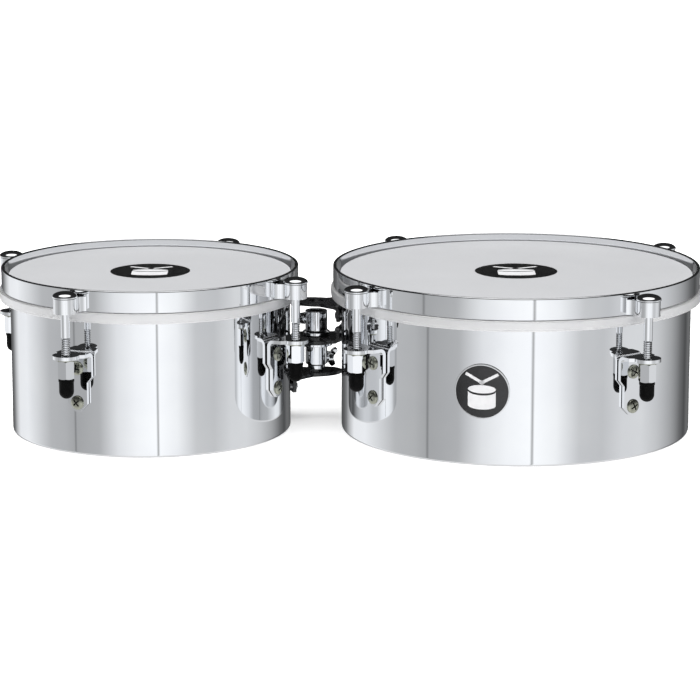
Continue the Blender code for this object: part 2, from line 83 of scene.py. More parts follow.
# Lug hardware.
LUG_OUT = 17.1
ROD_RADIUS = 3.2
ROD_HOLE = 3.6
ROD_END = 52.0
THREAD_TOP = 88.0
THREAD_DEPTH = 0.75
THREAD_PITCH = 1.27
HEAD_RADIUS = 8.9
HEAD_RIM = 0.9
HEAD_HEIGHT = 4.5
NUT_ACROSS_FLATS = 11.1
NUT_BOTTOM = 58.3
NUT_TOP = 71.3
WASHER_RADIUS = 7.3
WASHER_BOTTOM = 71.5
WASHER_HEIGHT = 1.0
CAP_RADIUS = 5.2
CAP_HEIGHT = 14.0
CAP_BEAD = 0.35

# Lug bracket and its cross-head screws.
SHEET = 2.5
TAB_TOP = 75.1
TAB_HOLE = 4.0
TAB_RADIUS = 9.5
TAB_NECK = 5.8
TAB_FLARE_ANGLE = 110.0
BEND_RADIUS = 3.5
BRACKET_BOTTOM = 31.6
BRACKET_TIP_WIDTH = 3.8
BRACKET_CHAMFER = 6.0
BRACKET_WIDTH = 15.8
SHOULDER_WIDTH = 23.6
TAPER_BOTTOM = 53.0
TAPER_TOP = 57.5
SCREW_LEVELS = (38.2, 62.9)
SCREW_HEAD = 5.0
SCREW_HEAD_HEIGHT = 2.3
SCREW_SHANK = 2.4
SCREW_TWIST_DEGREES = 37.0
BRACKET_NUT_ACROSS_FLATS = 8.0

# Mount plates, collars and wing screws.
SHELL_GAP = 37.4
AXIS_Y = 31.0
PLATE = 2.5
PLATE_TIP_RADIUS = 12.5
PLATE_TIP_LENGTH = 19.0
PLATE_WIDTH = 40.0
PLATE_FLARE_ANGLE = 105.0
PLATE_BEND = 3.0
FLANGE = 12.0
PLATE_LEVELS = {
    "small_lower_plate": 31.7,
    "small_upper_plate": 55.9,
    "large_lower_plate": 58.7,
    "large_upper_plate": 84.4,
}
FLANGES_UP = ("large_lower_plate",)
STAND_ROD_HOLE = 5.6
PIVOT_HOLE = 6.9
PIVOT_RADIUS = 6.5
PIVOT_FLANGE = 12.0
PIVOT_FLANGE_HEIGHT = 2.0
PIVOT_RIM = 8.0
PIVOT_RIM_HEIGHT = 1.2
COLLAR_BORE = 5.2
COLLAR_RADIUS = 8.2
UPPER_COLLAR_FOOT = 10.2
UPPER_COLLAR_FOOT_HEIGHT = 2.2
UPPER_COLLAR_SHOULDER = 1.5
UPPER_COLLAR_TOP = 79.7
LOWER_COLLAR_BOTTOM = 35.7
LOWER_COLLAR_NECK = 3.0
LOWER_COLLAR_SHOULDER = 1.0
WING_SCREW_LEVELS = {"large": 73.1, "small": 43.7}
WING_SCREW_RADIUS = 3.0
WING_THREAD_DEPTH = 0.55
WING_THREAD_PITCH = 1.0
WING_HUB_RADIUS = 4.6
WING_HUB_TAPER = 0.8
WING_HUB_LENGTH = 4.0
WING_SPAN = 18.0
WING_THICKNESS = 2.4
WING_TURNS = {"large": 35.0, "small": -55.0}
BOLT_SPREAD = 11.0
BOLT_HEAD_RADIUS = 3.3
BOLT_HEAD = 2.6
BOLT_RADIUS = 2.0
BOLT_EDGE = 0.4
BOLT_NUT_ACROSS_FLATS = 7.0

# Badge.
BADGE_RADIUS = 19.5
BADGE_THICKNESS = 1.0
BADGE_RING_WIDTH = 1.1
BADGE_HEIGHT = 53.0
BADGE_DEGREES = 256.6

# Facets.
DRUM_SEGMENTS = 288
PART_SEGMENTS = 48
THREAD_SEGMENTS = 32
DISC_SEGMENTS = 96
FILLET_STEPS = 5
SHARP_DEGREES = 38.0


# --- Shapes -------------------------------------------------------------------------------------


def circle(radius, segments=PART_SEGMENTS):
    points = []
    for step in range(segments):
        angle = 2 * math.pi * step / segments
        points.append((radius * math.cos(angle), radius * math.sin(angle)))
    return points


def rounded(corners):
    """A closed outline through (x, y, fillet radius) corners. A fillet of 0 leaves the corner sharp.

    A point lies just before and after each fillet, so that smooth shading stays off the flats.
    """
    points = []
    for index, (x, y, fillet) in enumerate(corners):
        here = Vector((x, y))
        if fillet == 0.0:
            points.append((x, y))
            continue
        before = Vector(corners[index - 1][:2]) - here
        after = Vector(corners[(index + 1) % len(corners)][:2]) - here
        turn = before.angle(after)
        setback = fillet / math.tan(turn / 2)
        centre = here + (before.normalized() + after.normalized()).normalized() * (
            fillet / math.sin(turn / 2)
        )
        start = here + before.normalized() * setback - centre
        end = here + after.normalized() * setback - centre
        sweep = start.angle_signed(end)
        support = before.normalized() * fillet * 0.2
        points.append(tuple(centre + start + support))
        for step in range(FILLET_STEPS + 1):
            angle = -sweep * step / FILLET_STEPS
            arm = Matrix.Rotation(angle, 2) @ start
            points.append(tuple(centre + arm))
        points.append(tuple(centre + end + after.normalized() * fillet * 0.2))
    return points


def join_rings(bm, here, there):
    for step in range(max(len(here), len(there))):
        corners = []
        for ring, index in ((here, step), (here, step + 1), (there, step + 1), (there, step)):
            corner = ring[index % len(ring)]
            if corner not in corners:
                corners.append(corner)
        if len(corners) > 2:
            bm.faces.new(corners)


def turned(profile, segments=PART_SEGMENTS):
    """Turns a closed outline of (radius, height) points about Z. A radius of 0 is one point."""
    bm = bmesh.new()
    rings = []
    for radius, height in profile:
        if radius < 1e-6:
            rings.append([bm.verts.new((0.0, 0.0, height))])
            continue
        rings.append([bm.verts.new((x, y, height)) for x, y in circle(radius, segments)])
    for here, there in zip(rings, rings[1:] + rings[:1]):
        if len(here) > 1 or len(there) > 1:
            join_rings(bm, here, there)
    return bm


def extruded(outline, bottom, top, holes=()):
    """A prism with holes through it."""
    bm = bmesh.new()
    for height in (bottom, top):
        edges = []
        for loop in (outline, *holes):
            verts = [bm.verts.new((x, y, height)) for x, y in loop]
            for here, there in zip(verts, verts[1:] + verts[:1]):
                edges.append(bm.edges.new((here, there)))
        bmesh.ops.triangle_fill(bm, use_beauty=True, edges=edges)
    bm.verts.ensure_lookup_table()
    half = len(bm.verts) // 2
    start = 0
    for loop in (outline, *holes):
        indices = range(start, start + len(loop))
        join_rings(bm, [bm.verts[i] for i in indices], [bm.verts[i + half] for i in indices])
        start += len(loop)
    return bm


def helix(radius, depth, pitch, bottom, top):
    """A real thread along Z: rows of points that follow the helix, root and crest by turns."""
    bm = bmesh.new()
    rows = []
    phases = 4
    count = int(phases * ((top - bottom) / pitch + 2))
    for row in range(count):
        out = radius - depth * (1.0, 0.5, 0.0, 0.5)[row % phases]
        ring = []
        for step, (x, y) in enumerate(circle(1.0, THREAD_SEGMENTS)):
            height = bottom - pitch + pitch * (row / phases + step / THREAD_SEGMENTS)
            ring.append(bm.verts.new((out * x, out * y, min(max(height, bottom), top))))
        rows.append(ring)
    for row in range(count - phases):
        for step in range(THREAD_SEGMENTS):
            after = (step + 1) % THREAD_SEGMENTS
            shift = phases if after == 0 else 0
            if row + 1 + shift < count:
                bm.faces.new((
                    rows[row][step],
                    rows[row + shift][after],
                    rows[row + 1 + shift][after],
                    rows[row + 1][step],
                ))
    bmesh.ops.remove_doubles(bm, verts=bm.verts, dist=1e-5)
    bmesh.ops.holes_fill(bm, edges=[e for e in bm.edges if e.is_boundary])
    return bm


def bent_strip(stations, thickness):
    """A strip of sheet. A station is (x, z, direction in degrees, half width) of its middle line."""
    bm = bmesh.new()
    rings = []
    for x, z, direction, half_width in stations:
        across = Vector((-math.sin(math.radians(direction)), 0.0, math.cos(math.radians(direction))))
        side = Vector((0.0, max(half_width, 0.05), 0.0))
        front = Vector((x, 0.0, z)) + across * thickness / 2
        back = front - across * thickness
        rings.append([bm.verts.new(v) for v in (front + side, front - side, back - side, back + side)])
    for here, there in zip(rings, rings[1:]):
        join_rings(bm, here, there)
    bm.faces.new(rings[0])
    bm.faces.new(rings[-1])
    return bm


def arc(centre, radius, start, end, steps):
    points = []
    for step in range(steps + 1):
        angle = math.radians(start + (end - start) * step / steps)
        points.append((centre[0] + radius * math.cos(angle), centre[1] + radius * math.sin(angle)))
    return points


def bend_stations(centre, radius, start, end, half_width):
    steps = 2 * FILLET_STEPS
    stations = []
    for step, (x, z) in enumerate(arc(centre, radius, start, end, steps)):
        stations.append((x, z, start + (end - start) * step / steps - 90.0, half_width))
    return stations


def tip_stations(x, z, radius, length, start):
    """The oval end of a strip that runs along +X and reaches its full width at the start angle."""
    steps = 24
    stations = []
    for step in range(steps + 1):
        angle = math.radians(start * (1 - step / steps))
        stations.append((x + length * math.cos(angle), z, 0.0, radius * math.sin(angle)))
    return stations


def moved(bm, matrix):
    bmesh.ops.transform(bm, matrix=matrix, verts=bm.verts)
    return bm


def joined(*parts):
    """Puts several bmeshes in one."""
    whole = bmesh.new()
    for part in parts:
        mesh = bpy.data.meshes.new("part")
        part.to_mesh(mesh)
        part.free()
        whole.from_mesh(mesh)
        bpy.data.meshes.remove(mesh)
    return whole


def along_x(height=0.0, x=0.0):
    """Lays a shape that was built along Z along X."""
    return Matrix.Translation((x, 0.0, height)) @ Matrix.Rotation(math.radians(90), 4, "Y")


def wrapped(bm, radius):
    """Bends a flat shape (X across, Y up, Z out) round a Z axis, so that it faces +X."""
    for vert in bm.verts:
        turn = vert.co.x / radius
        out = radius + vert.co.z
        vert.co = Vector((out * math.cos(turn), out * math.sin(turn), vert.co.y))
    return bm


def ribbon(points, width, bottom, top, closed=False):
    """A flat band of the given width along a line of (x, y) points."""
    bm = bmesh.new()
    count = len(points)
    rings = []
    for index, (x, y) in enumerate(points):
        ahead = points[(index + 1) % count] if closed or index + 1 < count else points[index]
        behind = points[index - 1] if closed or index else points[index]
        along = (Vector(ahead) - Vector(behind)).normalized() * width / 2
        left = (x - along.y, y + along.x)
        right = (x + along.y, y - along.x)
        corners = ((*left, bottom), (*left, top), (*right, top), (*right, bottom))
        rings.append([bm.verts.new(corner) for corner in corners])
    pairs = list(zip(rings, rings[1:]))
    if closed:
        pairs.append((rings[-1], rings[0]))
    for here, there in pairs:
        join_rings(bm, here, there)
    if not closed:
        bm.faces.new(rings[0])
        bm.faces.new(rings[-1])
    return bm


def finish_mesh(bm, name, cutters=(), skin=None, lining=None):
    """A smooth-shaded mesh in metres, with the cutters taken out of it.

    skin and lining are materials, for the mesh and for the faces that the cutters leave.
    """
    mesh = raw_mesh(bm, name)
    if skin:
        mesh.materials.append(skin)
    if cutters:
        tools = [raw_mesh(cutter, "cutter") for cutter in cutters]
        if lining:
            for tool in tools:
                tool.materials.append(lining)
        mesh = carved(mesh, tools)
    mesh.shade_smooth()
    mesh.set_sharp_from_angle(angle=math.radians(SHARP_DEGREES))
    return mesh


def raw_mesh(bm, name):
    bmesh.ops.recalc_face_normals(bm, faces=bm.faces)
    moved(bm, Matrix.Scale(MM, 4))
    mesh = bpy.data.meshes.new(name)
    bm.to_mesh(mesh)
    bm.free()
    return mesh


def carved(mesh, cutters):
    work = bpy.data.objects.new("work", mesh)
    bpy.context.scene.collection.objects.link(work)
    helpers = []
    for cutter in cutters:
        other = bpy.data.objects.new("cutter", cutter)
        bpy.context.scene.collection.objects.link(other)
        modifier = work.modifiers.new("cut", "BOOLEAN")
        modifier.operation = "DIFFERENCE"
        modifier.object = other
        modifier.material_mode = "TRANSFER" if cutter.materials else "INDEX"
        helpers.append(other)
    graph = bpy.context.evaluated_depsgraph_get()
    result = bpy.data.meshes.new_from_object(work.evaluated_get(graph))
    result.name = mesh.name
    for thing in (work, *helpers):
        bpy.data.objects.remove(thing)
    return result


# --- Materials ----------------------------------------------------------------------------------


def wander(tree, scale, detail=3.0, stretch=(1.0, 1.0, 1.0)):
    """Noise over the piece's own coordinates, with the given number of features per metre."""
    coordinates = tree.nodes.new("ShaderNodeTexCoord")
    mapping = tree.nodes.new("ShaderNodeMapping")
    mapping.inputs["Scale"].default_value = stretch
    noise = tree.nodes.new("ShaderNodeTexNoise")
    noise.inputs["Scale"].default_value = scale
    noise.inputs["Detail"].default_value = detail
    tree.links.new(coordinates.outputs["Object"], mapping.inputs["Vector"])
    tree.links.new(mapping.outputs["Vector"], noise.inputs["Vector"])
    return noise.outputs["Fac"]


def spread(tree, value, low, high):
    """Spreads the middle of a noise from low to high."""
    node = tree.nodes.new("ShaderNodeMapRange")
    node.inputs["From Min"].default_value = 0.3
    node.inputs["From Max"].default_value = 0.7
    node.inputs["To Min"].default_value = low
    node.inputs["To Max"].default_value = high
    tree.links.new(value, node.inputs["Value"])
    return node.outputs["Result"]


def tones(tree, value, dark, light):
    node = tree.nodes.new("ShaderNodeValToRGB")
    node.color_ramp.elements[0].position = 0.3
    node.color_ramp.elements[0].color = (*dark, 1.0)
    node.color_ramp.elements[1].position = 0.7
    node.color_ramp.elements[1].color = (*light, 1.0)
    tree.links.new(value, node.inputs["Fac"])
    return node.outputs["Color"]


def surface(name, dark, light, roughness, patches, grain, relief, stretch=(1.0, 1.0, 1.0), **sockets):
    """A material whose colour and gloss drift in patches, over a fine grain that stands in relief.

    patches and grain are in features per metre, and relief is the grain's height in metres.
    """
    made = bpy.data.materials.new(name)
    made.use_nodes = True
    tree = made.node_tree
    shader = tree.nodes["Principled BSDF"]
    for socket, value in sockets.items():
        shader.inputs[socket.replace("_", " ")].default_value = value
    drift = wander(tree, patches)
    fine = wander(tree, grain, stretch=stretch)
    tree.links.new(tones(tree, drift, dark, light), shader.inputs["Base Color"])
    tree.links.new(spread(tree, fine, *roughness), shader.inputs["Roughness"])
    bump = tree.nodes.new("ShaderNodeBump")
    bump.inputs["Strength"].default_value = 1.0
    bump.inputs["Distance"].default_value = relief
    tree.links.new(fine, bump.inputs["Height"])
    tree.links.new(bump.outputs["Normal"], shader.inputs["Normal"])
    return made


def make_materials():
    return {
        "chrome": surface(
            "chrome", (0.87, 0.88, 0.90), (0.91, 0.92, 0.93), (0.015, 0.035),
            patches=30, grain=900, relief=1e-7, Metallic=1.0,
        ),
        "satin_chrome": surface(
            "satin_chrome", (0.78, 0.79, 0.80), (0.88, 0.88, 0.89), (0.14, 0.24),
            patches=60, grain=2500, relief=3e-7, Metallic=1.0,
        ),
        "aluminium": surface(
            "aluminium", (0.90, 0.90, 0.91), (0.96, 0.96, 0.96), (0.40, 0.52),
            patches=40, grain=60, relief=4e-6, stretch=(1.0, 1.0, 40.0), Metallic=0.68,
        ),
        "film": surface(
            "film", (0.56, 0.565, 0.58), (0.59, 0.595, 0.61), (0.16, 0.26),
            patches=14, grain=2600, relief=1.5e-6, IOR=1.5,
        ),
        "rubber": surface(
            "rubber", (0.002, 0.002, 0.002), (0.004, 0.004, 0.004), (0.36, 0.50),
            patches=300, grain=1800, relief=2e-5, Specular_IOR_Level=0.06,
        ),
        "black_paint": surface(
            "black_paint", (0.006, 0.006, 0.007), (0.014, 0.014, 0.015), (0.20, 0.36),
            patches=120, grain=1100, relief=3e-5, Coat_Weight=0.3,
        ),
        "nickel": surface(
            "nickel", (0.42, 0.43, 0.36), (0.56, 0.57, 0.48), (0.28, 0.42),
            patches=400, grain=3000, relief=2e-6, Metallic=1.0,
        ),
        "zinc": surface(
            "zinc", (0.60, 0.61, 0.62), (0.74, 0.75, 0.76), (0.18, 0.32),
            patches=400, grain=3000, relief=2e-6, Metallic=1.0,
        ),
        "enamel": surface(
            "enamel", (0.004, 0.004, 0.004), (0.008, 0.008, 0.009), (0.08, 0.14),
            patches=150, grain=1500, relief=2e-6, Coat_Weight=0.4,
        ),
        # Black print on the heads, and also painted shade lining the screws' cross recesses.
        "ink_and_recess_shade": surface(
            "ink_and_recess_shade", (0.005, 0.005, 0.005), (0.010, 0.010, 0.010), (0.22, 0.34),
            patches=150, grain=2400, relief=2e-6,
        ),
        "pale_ink": surface(
            "pale_ink", (0.66, 0.66, 0.67), (0.74, 0.74, 0.75), (0.30, 0.42),
            patches=200, grain=2400, relief=2e-6,
        ),
    }


# --- Pieces -------------------------------------------------------------------------------------


def add_piece(name, mesh, material, body, nodes=(), at=Matrix(), bevel=0.0):
    """Adds a piece on a body. The mesh may be shared with other pieces of the same material."""
    if not mesh.materials:
        mesh.materials.append(material)
    piece = bpy.data.objects.new(name, mesh)
    bpy.context.scene.collection.objects.link(piece)
    piece.matrix_world = at
    if bevel:
        modifier = piece.modifiers.new("edges", "BEVEL")
        modifier.width = bevel * MM
        modifier.segments = 3
        modifier.limit_method = "ANGLE"
        modifier.angle_limit = math.radians(45)
        modifier.harden_normals = True
    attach(piece, body)
    if nodes:
        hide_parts(*nodes)
    return piece


def placed(x=0.0, y=0.0, z=0.0, degrees=0.0):
    """A place in the row frame, from millimetres and a turn about Z."""
    return Matrix.Translation(Vector((x, y, z)) * MM) @ Matrix.Rotation(math.radians(degrees), 4, "Z")


def shell_mesh(radius):
    profile = rounded([
        (radius, SHELL_HEIGHT, 0.45),
        (radius - WALL, SHELL_HEIGHT, 0.45),
        (radius - WALL, WALL, 0.6),
        (radius - LIP + WALL, WALL, 0.3),
        (radius - LIP + WALL, LIP_RETURN, 0.4),
        (radius - LIP, LIP_RETURN, 0.4),
        (radius - LIP, 0.0, 1.1),
        (radius, 0.0, 1.6),
    ])
    return finish_mesh(turned(profile, DRUM_SEGMENTS), "shell")


def film_mesh(radius):
    under = SHELL_HEIGHT + GAP
    inner = radius + FILM_SLACK
    profile = rounded([
        (0.0, under + FILM, 0.0),
        (inner + FILM, under + FILM, 0.9),
        (inner + FILM, SKIRT_BOTTOM, 0.1),
        (inner, SKIRT_BOTTOM, 0.1),
        (inner, under, 0.5),
        (0.0, under, 0.0),
    ])
    return finish_mesh(turned(profile, DRUM_SEGMENTS), "head")


def flesh_hoop_mesh(radius):
    inner = radius + FLESH_IN
    outer = radius + FLESH_OUT
    groove = FLESH_BOTTOM + 1.6
    profile = rounded([
        (inner, FLESH_BOTTOM, 0.3),
        (outer - 0.3, FLESH_BOTTOM, 0.7),
        (outer - 0.3, groove, 0.1),
        (outer, groove + 0.3, 0.1),
        (outer, FLESH_TOP, 0.9),
        (inner, FLESH_TOP, 0.3),
    ])
    return finish_mesh(turned(profile, DRUM_SEGMENTS), "flesh_hoop")


def ear_outline(radius):
    """An ear seen from above, with the rod's axis at the origin."""
    root = radius + (HOOP_IN + HOOP_OUT) / 2
    steps = 16
    boss = arc((0.0, 0.0), BOSS_RADIUS, NECK_ANGLE, -NECK_ANGLE, 3 * steps)
    neck_x, neck_y = boss[0]
    foot_x = math.sqrt(root**2 - EAR_FLARE**2) - radius - LUG_OUT
    flare = []
    for step in range(steps):
        angle = math.radians(90.0 * step / steps)
        x = foot_x + (neck_x - foot_x) * (1 - math.cos(angle))
        y = EAR_FLARE + (neck_y - EAR_FLARE) * math.sin(angle)
        flare.append((x, y))
    base = []
    for step in range(1, steps):
        y = -EAR_FLARE + 2 * EAR_FLARE * step / steps
        base.append((math.sqrt(root**2 - y**2) - radius - LUG_OUT, y))
    return flare + boss + [(x, -y) for x, y in reversed(flare)] + base


def counterhoop_mesh(radius, first_degrees):
    profile = rounded([
        (radius + HOOP_IN, HOOP_BOTTOM, 0.3),
        (radius + HOOP_OUT, HOOP_BOTTOM, 0.5),
        (radius + HOOP_OUT, HOOP_TOP, 0.9),
        (radius + HOOP_IN, HOOP_TOP, 0.9),
    ])
    parts = [turned(profile, DRUM_SEGMENTS)]
    for number in range(LUGS):
        turn = Matrix.Rotation(math.radians(first_degrees + 360.0 * number / LUGS), 4, "Z")
        ear = extruded(ear_outline(radius), EAR_BOTTOM, EAR_TOP, [circle(ROD_HOLE)])
        parts.append(moved(ear, turn @ Matrix.Translation((radius + LUG_OUT, 0.0, 0.0))))
    return finish_mesh(joined(*parts), "counterhoop")


def dome(radius, bottom, height, steps=12):
    """The profile of a domed top, from its rim to the axis."""
    points = []
    for step in range(steps + 1):
        angle = math.radians(90.0 * step / steps)
        points.append((radius * math.cos(angle), bottom + height * math.sin(angle)))
    return points


def rod_mesh():
    seat = EAR_TOP + GAP
    overlap = 0.6
    profile = [(0.0, THREAD_TOP - overlap), (ROD_RADIUS, THREAD_TOP - overlap), (ROD_RADIUS, seat)]
    profile += [(HEAD_RADIUS - 0.4, seat), (HEAD_RADIUS, seat + 0.3), (HEAD_RADIUS, seat + HEAD_RIM - 0.1)]
    profile += dome(HEAD_RADIUS, seat + HEAD_RIM, HEAD_HEIGHT - HEAD_RIM)
    thread = helix(ROD_RADIUS, THREAD_DEPTH, THREAD_PITCH, ROD_END, THREAD_TOP)
    return finish_mesh(joined(turned(profile), thread), "tension_rod")


def hex_nut(across_flats, bore, bottom, top):
    """A nut with chamfered corners and a countersunk bore."""
    face = across_flats / 2 * 0.97
    slope = math.tan(math.radians(30.0))
    bm = bmesh.new()
    reaches = []
    for step in range(PART_SEGMENTS):
        angle = 2 * math.pi * step / PART_SEGMENTS
        off_flat = (angle + math.pi / 6) % (math.pi / 3) - math.pi / 6
        reaches.append(across_flats / 2 / math.cos(off_flat))
    rings = []
    for radius, height in ((bore, bottom + 0.4), (bore + 0.4, bottom), (face, bottom)):
        rings.append([bm.verts.new((x, y, height)) for x, y in circle(radius)])
    for end, sense in ((bottom, 1.0), (top, -1.0)):
        ring = []
        for (x, y), reach in zip(circle(1.0), reaches):
            ring.append(bm.verts.new((x * reach, y * reach, end + sense * (reach - face) * slope)))
        rings.append(ring)
    for radius, height in ((face, top), (bore + 0.4, top), (bore, top - 0.4)):
        rings.append([bm.verts.new((x, y, height)) for x, y in circle(radius)])
    for here, there in zip(rings, rings[1:] + rings[:1]):
        join_rings(bm, here, there)
    return bm


def washer(radius, bore, bottom, height):
    top = bottom + height
    return turned(rounded([
        (bore, bottom, 0.15),
        (radius, bottom, 0.25),
        (radius, top, 0.25),
        (bore, top, 0.15),
    ]))


def cap_mesh():
    """Rubber cap on the rod's end: a bead round its mouth and a round lower end."""
    top = NUT_BOTTOM - GAP
    bottom = top - CAP_HEIGHT
    centre = bottom + CAP_RADIUS
    outside = [(r, centre - (z - centre)) for r, z in dome(CAP_RADIUS, centre, CAP_RADIUS)][::-1]
    mouth = [
        (CAP_RADIUS, top - 2.0), (CAP_RADIUS + CAP_BEAD, top - 1.6), (CAP_RADIUS + CAP_BEAD, top - 0.4),
        (CAP_RADIUS, top), (ROD_HOLE, top), (ROD_HOLE, bottom + 3.0), (0.0, bottom + 3.0),
    ]
    return finish_mesh(turned(outside + mouth), "rubber_cap")


def bracket_mesh():
    """Lug bracket, about the rod's axis."""
    plate_x = -LUG_OUT + GAP + SHEET / 2
    tab_z = TAB_TOP - SHEET / 2
    bend_centre = (plate_x + BEND_RADIUS, tab_z - BEND_RADIUS)
    bend = bend_stations(bend_centre, BEND_RADIUS, 180.0, 90.0, SHOULDER_WIDTH / 2)
    up = 90.0
    widths = [(BRACKET_BOTTOM, BRACKET_TIP_WIDTH), (BRACKET_BOTTOM + BRACKET_CHAMFER, BRACKET_WIDTH)]
    widths += [(TAPER_BOTTOM, BRACKET_WIDTH), (TAPER_TOP, SHOULDER_WIDTH), (bend[0][1] - 0.5, SHOULDER_WIDTH)]
    stations = [(plate_x, z, up, width / 2) for z, width in widths]
    stations += bend
    stations.append((bend[-1][0] + 0.5, tab_z, 0.0, SHOULDER_WIDTH / 2))
    stations.append((-TAB_NECK, tab_z, 0.0, SHOULDER_WIDTH / 2))
    stations += tip_stations(0.0, tab_z, TAB_RADIUS, TAB_RADIUS, TAB_FLARE_ANGLE)
    drill = turned([(0.0, NUT_TOP), (TAB_HOLE, NUT_TOP), (TAB_HOLE, 80.0), (0.0, 80.0)])
    return finish_mesh(bent_strip(stations, SHEET), "lug_bracket", [drill])


def cross_outline(reach, width):
    """A plus sign, for a cross recess."""
    half = width / 2
    arm = [(reach, -half), (reach, half), (half, half)]
    outline = []
    for quarter in range(4):
        turn = Matrix.Rotation(math.radians(90.0 * quarter), 2)
        outline += [tuple(turn @ Vector(corner)) for corner in arm]
    return outline


def screw_mesh(head_radius, head_height, shank_radius, length, name, metal, shade):
    """Pan-head screw with a cross recess, its seat at z = 0 and its shank downwards."""
    profile = [(0.0, -length), (shank_radius - 0.5, -length)]
    profile += [(shank_radius, -length + 0.6), (shank_radius, 0.0)]
    profile += [(head_radius - 0.2, 0.0), (head_radius, 0.15), (head_radius, 0.35)]
    profile += dome(head_radius, 0.45, head_height - 0.45)
    cross = cross_outline(head_radius * 0.6, head_radius * 0.22)
    recess = extruded(cross, head_height * 0.3, head_height + 1.0)
    # The recess is lined with the shade material: a near-black colour painted in as the shade inside the
    # cross.
    return finish_mesh(turned(profile), name, [recess], metal, shade)


def inner_nut_mesh(across_flats, bore, seat):
    """A nut on its washer, on the inside of a shell whose inner face is seat behind the screw's seat."""
    disc = washer(across_flats * 0.68, bore, -seat - 0.9, 0.8)
    nut = hex_nut(across_flats, bore, -seat - 0.95 - across_flats / 2, -seat - 0.95)
    return finish_mesh(joined(disc, nut), "inner_nut")


def plate_mesh(reach, flange_up):
    """A mount plate about the stand rod's axis, with +X pointing to its own drum's shell, at reach."""
    middle = PLATE / 2
    wall_x = reach - GAP - middle
    half_width = PLATE_WIDTH / 2
    bend = bend_stations((-wall_x + PLATE_BEND, -PLATE_BEND), PLATE_BEND, 180.0, 90.0, half_width)
    stations = [(-wall_x, middle - FLANGE, 90.0, half_width - 1.5)]
    stations.append((-wall_x, middle - FLANGE + 1.5, 90.0, half_width))
    stations += bend
    stations += tip_stations(0.0, 0.0, PLATE_TIP_RADIUS, PLATE_TIP_LENGTH, PLATE_FLARE_ANGLE)
    turn = Matrix.Rotation(math.pi, 4, "Y" if flange_up else "Z")
    return moved(bent_strip(stations, PLATE), Matrix.Translation((0.0, 0.0, middle)) @ turn)


def upper_collar_mesh():
    foot = PLATE_LEVELS["large_lower_plate"] + PLATE + GAP
    roof = foot + UPPER_COLLAR_FOOT_HEIGHT
    inner = PIVOT_RIM + 2 * GAP
    profile = rounded([
        (inner, foot, 0.2),
        (UPPER_COLLAR_FOOT, foot, 0.4),
        (UPPER_COLLAR_FOOT, roof, 0.4),
        (COLLAR_RADIUS, roof + UPPER_COLLAR_SHOULDER, 0.3),
        (COLLAR_RADIUS, UPPER_COLLAR_TOP, 0.6),
        (COLLAR_BORE, UPPER_COLLAR_TOP, 0.4),
        (COLLAR_BORE, roof - GAP, 0.2),
        (inner, roof - GAP, 0.2),
    ])
    return finish_mesh(turned(profile), "upper_rod_collar")


def lower_collar_mesh():
    flange_top = PLATE_LEVELS["small_upper_plate"] - GAP
    flange_bottom = flange_top - PIVOT_FLANGE_HEIGHT
    rim_bottom = PLATE_LEVELS["large_lower_plate"] + PLATE + GAP
    shoulder = LOWER_COLLAR_BOTTOM + LOWER_COLLAR_NECK
    profile = rounded([
        (COLLAR_BORE, LOWER_COLLAR_BOTTOM, 0.3),
        (PIVOT_RADIUS, LOWER_COLLAR_BOTTOM, 0.4),
        (PIVOT_RADIUS, shoulder, 0.3),
        (COLLAR_RADIUS, shoulder + LOWER_COLLAR_SHOULDER, 0.4),
        (COLLAR_RADIUS, flange_bottom - GAP, 0.1),
        (PIVOT_FLANGE, flange_bottom, 0.3),
        (PIVOT_FLANGE, flange_top, 0.3),
        (PIVOT_RADIUS, flange_top, 0.2),
        (PIVOT_RADIUS, rim_bottom, 0.1),
        (PIVOT_RIM, rim_bottom, 0.15),
        (PIVOT_RIM, rim_bottom + PIVOT_RIM_HEIGHT, 0.3),
        (COLLAR_BORE, rim_bottom + PIVOT_RIM_HEIGHT, 0.3),
    ])
    return finish_mesh(turned(profile), "lower_rod_collar")


def wing_screw_mesh():
    """Wing screw along X, with the stand rod's axis at x = 0: thread, hub and two wings."""
    tip = COLLAR_BORE + GAP
    hub = COLLAR_RADIUS + GAP
    hub_end = hub + WING_HUB_LENGTH
    barrel = turned(rounded([
        (0.0, hub, 0.0),
        (WING_HUB_RADIUS, hub, 0.4),
        (WING_HUB_RADIUS - WING_HUB_TAPER, hub_end, 1.0),
        (0.0, hub_end, 0.0),
    ]))
    root = hub + 1.0
    upper = [
        (root, 1.8, 0.0), (root + 0.8, WING_SPAN * 0.35, 1.6), (root + 2.6, WING_SPAN / 2, 1.0),
        (root + 4.6, WING_SPAN / 2, 0.9), (root + 6.0, WING_SPAN * 0.375, 1.2), (root + 3.6, 2.6, 0.0),
    ]
    wings = extruded(
        rounded(upper + [(x, -y, fillet) for x, y, fillet in reversed(upper)]),
        -WING_THICKNESS / 2,
        WING_THICKNESS / 2,
    )
    thread = helix(WING_SCREW_RADIUS, WING_THREAD_DEPTH, WING_THREAD_PITCH, tip, hub + 0.3)
    return finish_mesh(joined(moved(barrel, along_x()), moved(thread, along_x()), wings), "wing_screw")


def sign_parts(scale, bottom, top):
    """A generic sign, a solid little drum under two crossed sticks, as flat shapes."""
    half = 9.0 * scale
    parts = []
    head = [(x * half, y * 2.7 * scale + 1.6 * scale) for x, y in circle(1.0)]
    parts.append(extruded(head, bottom, top))
    below = [(half * math.cos(angle), 2.7 * scale * math.sin(angle)) for angle in side_angles()]
    body = [(x, y + 0.2 * scale) for x, y in below] + [(x, y - 9.0 * scale) for x, y in reversed(below)]
    parts.append(extruded(body, bottom, top))
    for side in (-1.0, 1.0):
        stick = [(side * (10.5 - 1.5 * step) * scale, (11.6 - 0.8 * step) * scale) for step in range(8)]
        parts.append(ribbon(stick, 1.9 * scale, bottom, top))
        end = [(x * 1.8 * scale + stick[-1][0], y * 1.5 * scale + stick[-1][1]) for x, y in circle(1.0, 24)]
        parts.append(extruded(end, bottom, top))
    return parts


